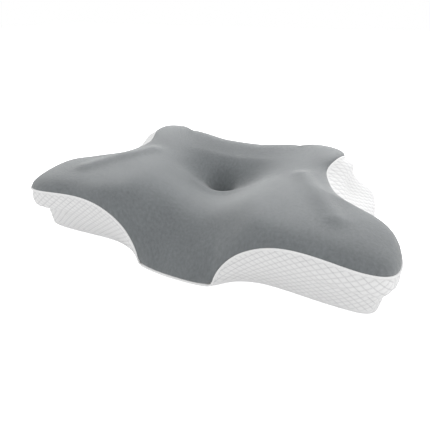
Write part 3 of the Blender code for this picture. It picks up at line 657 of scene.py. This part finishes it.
sidePiece("sidePanelFrontRight", "side_panel_front_right", firstSide, tipSeam)
sidePiece("sidePanelBackRight", "side_panel_back_right", tipSeam, lastSide)
sidePiece("sidePanelBackLeft", "side_panel_back_left", wholeLoop - lastSide, wholeLoop - tipSeam)
sidePiece("sidePanelFrontLeft", "side_panel_front_left", wholeLoop - tipSeam, wholeLoop - firstSide)
print("side panels ready")

# ---- bottom panel
bottomPanel = {"columns": 480, "thickness": 0.0026, "round": 0.0030, "flat": (0.61, 0.40), "area": 0.20}


def bottomPiece():
    # the base edge turned up all round, closed by flat rings; the inner face lies a thickness above
    columns, thick = bottomPanel["columns"], bottomPanel["thickness"]
    base = outlineAt(np.arange(columns) * wholeLoop / columns)[:, 3:5]
    inward = -planNormal(base)
    angle = np.linspace(0, math.pi / 2, 7)
    rounding = bottomPanel["round"]
    rows = [np.column_stack([base, np.full(columns, turnUp)])]
    for turn in angle:
        rows.append(np.column_stack([base + inward * rounding * (1 - math.cos(turn)),
                                     np.full(columns, rounding * (1 - math.sin(turn)))]))
    for ring in (0.93, 0.8, 0.6, 0.4, 0.2):
        rows.append(np.column_stack([base * ring, np.zeros(columns)]))
    outer = np.array(rows)
    inner = outer.copy()
    inner[:8, :, :2] += inward * thick
    inner[:, :, 2] = thick + outer[:, :, 2] * (turnUp - thick) / turnUp
    grid = np.concatenate([outer[::-1], inner])
    points = np.concatenate([grid.reshape(-1, 3), [[0, 0, 0], [0, 0, thick]]])
    last = len(points)
    fans = [fan(last - 2, 0, columns)[:, ::-1], fan(last - 1, (len(grid) - 1) * columns, columns)]
    piece = makePiece("bottomPanel", points, gridFaces(len(grid), columns, True), fans, whiteKnit,
                      uv=points[:, :2])
    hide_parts("cover_bottom_panel")
    return facesOut(piece)


bottomPiece()

# ---- piping in the top seam
piping = {"radius": 0.0017, "offset": 0.0009, "sides": 12, "sideWidth": 0.0009, "columns": 900,
          "floor": 0.0004}


def tubeAlong(centres, radius, sides, closed=True, guide=(0.0, 0.0, 1.0)):
    # a circle carried along a path; one axis of the circle stays square to the guide
    along = (np.roll(centres, -1, 0) - np.roll(centres, 1, 0)) if closed else np.gradient(centres, axis=0)
    along /= np.linalg.norm(along, axis=1)[:, None]
    across = np.cross(along, guide)
    across /= np.linalg.norm(across, axis=1)[:, None]
    upward = np.cross(across, along)
    angle = np.arange(sides) * 2 * math.pi / sides
    ring = across[:, None] * np.cos(angle)[None, :, None] + upward[:, None] * np.sin(angle)[None, :, None]
    return centres[:, None] + ring * radius


def pipingPiece():
    count = piping["columns"]
    edge = outlineAt(np.arange(count) * wholeLoop / count)
    rings = topSurface(edge, np.array([0.985, 1.0]))
    below = wallSurface(edge, np.array([0.0, 0.04]), True)[1]
    fromTop = rings[0] - rings[1]
    fromWall = below - rings[1]
    fromTop /= np.linalg.norm(fromTop, axis=1)[:, None]
    fromWall /= np.maximum(np.linalg.norm(fromWall, axis=1), 1e-9)[:, None]
    height = np.clip((edge[:, 2] - turnUp - 0.001) / 0.012, 0, 1)[:, None]
    level = np.column_stack([planNormal(edge[:, :2]), np.zeros(count)])
    outward = level * 0.8 - (fromTop + fromWall) * 0.25 * height
    outward /= np.linalg.norm(outward, axis=1)[:, None]
    centres = edge[:, :3] + outward * piping["offset"]
    floorLevel = piping["radius"] + piping["floor"]
    centres[:, 2] = floorLevel + (centres[:, 2] - floorLevel) * height[:, 0]
    tube = tubeAlong(centres, piping["radius"], piping["sides"])
    quads = gridFaces(count + 1, piping["sides"], True) % (count * piping["sides"])
    travel = np.concatenate([[0], np.cumsum(np.linalg.norm(np.diff(centres, axis=0), axis=1))])
    around = np.arange(piping["sides"]) * piping["sideWidth"]
    uv = np.column_stack([np.repeat(travel, piping["sides"]), np.tile(around, count)])
    points = tube.reshape(-1, 3)
    piece = facesOut(makePiece("seamPiping", points, quads, (), pipingCloth, uv=uv))
    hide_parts("seam_piping")
    return piece


pipingPiece()
print("bottom panel and piping ready")

# ---- zip
zipLook = {"pitch": 0.0016, "wire": 0.00034, "turnPoints": 10, "wireSides": 5, "inset": 0.0001,
           "bevel": 0.00025, "tapeColumns": 420, "tapeRows": 10, "tapeRipple": 0.00006, "rib": 0.0009}


def coilPiece(name, node):
    # one wire wound where the plain bar was: an ellipse about X that moves on by the pitch each turn
    low, high = (np.array(corner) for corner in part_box(node))
    middle, half = (low + high) / 2, (high - low) / 2 - zipLook["wire"] - zipLook["inset"]
    turns = int(2 * half[0] / zipLook["pitch"])
    angle = np.linspace(0, turns * 2 * math.pi, turns * zipLook["turnPoints"] + 1)
    centres = np.column_stack([middle[0] - half[0] + 2 * half[0] * angle / angle[-1],
                               middle[1] + half[1] * np.cos(angle), middle[2] + half[2] * np.sin(angle)])
    sides = zipLook["wireSides"]
    tube = tubeAlong(centres, zipLook["wire"], sides, False, (1.0, 0.0, 0.0))
    points = np.concatenate([tube.reshape(-1, 3), centres[:1], centres[-1:]])
    last = len(points)
    fans = [fan(last - 2, 0, sides)[:, ::-1], fan(last - 1, (len(centres) - 1) * sides, sides)]
    quads = gridFaces(len(centres), sides, True)
    piece = facesOut(makePiece(name, points, quads, fans, zipNylon))
    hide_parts(node)


def tapePiece(name, node):
    # a woven ribbon with fine ribs across it: both faces move in y by a sine of x
    low, high = (np.array(corner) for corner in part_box(node))
    x = np.linspace(low[0], high[0], zipLook["tapeColumns"])
    z = np.linspace(low[2], high[2], zipLook["tapeRows"])[::-1]
    ripple = zipLook["tapeRipple"] * (np.sin(2 * math.pi * x / zipLook["rib"] / 4) - 1)
    front = np.stack(np.broadcast_arrays(x[None], (high[1] + ripple)[None], z[:, None]), 2)
    back = front.copy()
    back[..., 1] = low[1] - ripple
    size = front.shape[0] * front.shape[1]
    points = np.concatenate([front.reshape(-1, 3), back.reshape(-1, 3)])
    quads = np.concatenate([gridFaces(len(z), len(x), False), gridFaces(len(z), len(x), False, size, True),
                            borderFaces(len(z), len(x), 0, size)])
    piece = facesOut(makePiece(name, points, quads, (), tapeCloth))
    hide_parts(node)


def metalPiece(name, node, body):
    # the solid's own shape with its sharp edges rounded
    work = bmesh.new()
    work.from_mesh(bpy.data.objects[node].data)
    bmesh.ops.remove_doubles(work, verts=work.verts[:], dist=1e-6)
    bmesh.ops.dissolve_limit(work, angle_limit=0.02, verts=work.verts[:], edges=work.edges[:])
    bmesh.ops.recalc_face_normals(work, faces=work.faces[:])
    sharp = [edge for edge in work.edges if edge.is_manifold and edge.calc_face_angle(0) > 0.6]
    bmesh.ops.bevel(work, geom=sharp, offset=zipLook["bevel"], segments=2, profile=0.5, affect="EDGES",
                    clamp_overlap=True)
    bmesh.ops.triangulate(work, faces=work.faces[:])
    mesh = bpy.data.meshes.new(name)
    work.to_mesh(mesh)
    work.free()
    mesh.shade_smooth()
    mesh.set_sharp_from_angle(angle=math.radians(50))
    mesh.materials.append(zipMetal)
    piece = bpy.data.objects.new(name, mesh)
    scene.collection.objects.link(piece)
    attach(piece, body)
    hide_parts(node)
    return piece


coilPiece("zipCoilUpper", "zip_coil_upper")
coilPiece("zipCoilLower", "zip_coil_lower")
tapePiece("zipTapeUpper", "zip_tape_upper")
tapePiece("zipTapeLower", "zip_tape_lower")
for pieceName, nodeName, bodyName in (("zipSlider", "zip_slider", "slider"), ("zipPull", "zip_pull", "pull"),
                                      ("zipBottomStop", "zip_bottom_stop", "pillow"),
                                      ("zipTopStopUpper", "zip_top_stop_upper", "pillow"),
                                      ("zipTopStopLower", "zip_top_stop_lower", "pillow")):
    metalPiece(pieceName, nodeName, bodyName)
print("zip ready")

# ---- care label
careLabel = {"flat": (0.024, 0.014), "thickness": 0.0005, "columns": 24, "rows": 16, "wave": 0.0003,
             "waveTurns": 300, "sag": 1.4}  # waveTurns is in radians a metre


def labelPiece():
    # a blank strip that leaves the seam level and sags: z falls with a power of the way out, with a wave
    low, high = (np.array(corner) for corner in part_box("care_label"))
    x = np.linspace(low[0], high[0], careLabel["columns"])
    out = np.linspace(0, 1, careLabel["rows"])[:, None]
    fall = high[2] - low[2] - careLabel["thickness"]
    wave = careLabel["wave"] * out * np.sin((x - low[0]) * careLabel["waveTurns"])
    z = high[2] - fall * out ** careLabel["sag"] + wave
    upper = np.stack(np.broadcast_arrays(x[None], low[1] + (high[1] - low[1]) * out, z), 2)
    lower = upper - [0, 0, careLabel["thickness"]]
    size = upper.shape[0] * upper.shape[1]
    points = np.concatenate([upper.reshape(-1, 3), lower.reshape(-1, 3)])
    quads = np.concatenate([gridFaces(len(out), len(x), False),
                            gridFaces(len(out), len(x), False, size, True),
                            borderFaces(len(out), len(x), 0, size)])
    piece = makePiece("careLabel", points, quads, (), labelSatin, uv=points[:, :2])
    facesOut(piece)
    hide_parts("care_label")


labelPiece()
print("label ready")

# ---- floor and light
light = {"world": 0.90, "floorTone": 0.85, "floorSpan": 6.0, "floorLevel": -0.0002, "lamps": {
    "rim": (19.5, 0.6, (0.0, 1.4, 0.45)),  # watts, size and place
    "side": (1.5, 0.6, (1.1, 0.2, 0.8)),
}}


def seenGlow(tree, seen, lit):
    # one strength where the camera sees it and another where it lights the pillow
    path = addNode(tree, "ShaderNodeLightPath")
    return mathNode(tree, "ADD", mathNode(tree, "MULTIPLY", path.outputs["Is Camera Ray"], seen - lit), lit)


def studio():
    mesh = bpy.data.meshes.new("floor")
    span = light["floorSpan"]
    level = light["floorLevel"]
    corners = [(-span, -span, level), (span, -span, level), (span, span, level), (-span, span, level)]
    mesh.from_pydata(corners, [], [(0, 1, 2, 3)])
    floor = bpy.data.objects.new("floor", mesh)
    scene.collection.objects.link(floor)
    material = bpy.data.materials.new("floorPaper")
    material.use_nodes = True
    tree = material.node_tree
    shader = tree.nodes["Principled BSDF"]
    shader.inputs["Base Color"].default_value = (*[light["floorTone"]] * 3, 1)
    shader.inputs["Roughness"].default_value = 0.9
    shader.inputs["Emission Color"].default_value = (1, 1, 1, 1)
    tree.links.new(seenGlow(tree, 1.0, 0.0), shader.inputs["Emission Strength"])
    mesh.materials.append(material)
    world = bpy.data.worlds.new("studio")
    scene.world = world
    world.use_nodes = True
    tree = world.node_tree
    tree.links.new(seenGlow(tree, 1.0, light["world"]), tree.nodes["Background"].inputs["Strength"])
    tree.nodes["Background"].inputs["Color"].default_value = (1, 1, 1, 1)
    for name, (power, size, place) in light["lamps"].items():
        data = bpy.data.lights.new(name, "AREA")
        data.energy = power
        data.size = size
        lamp = bpy.data.objects.new(name, data)
        lamp.location = place
        lamp.rotation_euler = Vector(place).to_track_quat("Z", "Y").to_euler()
        scene.collection.objects.link(lamp)


studio()
print("light and floor ready")
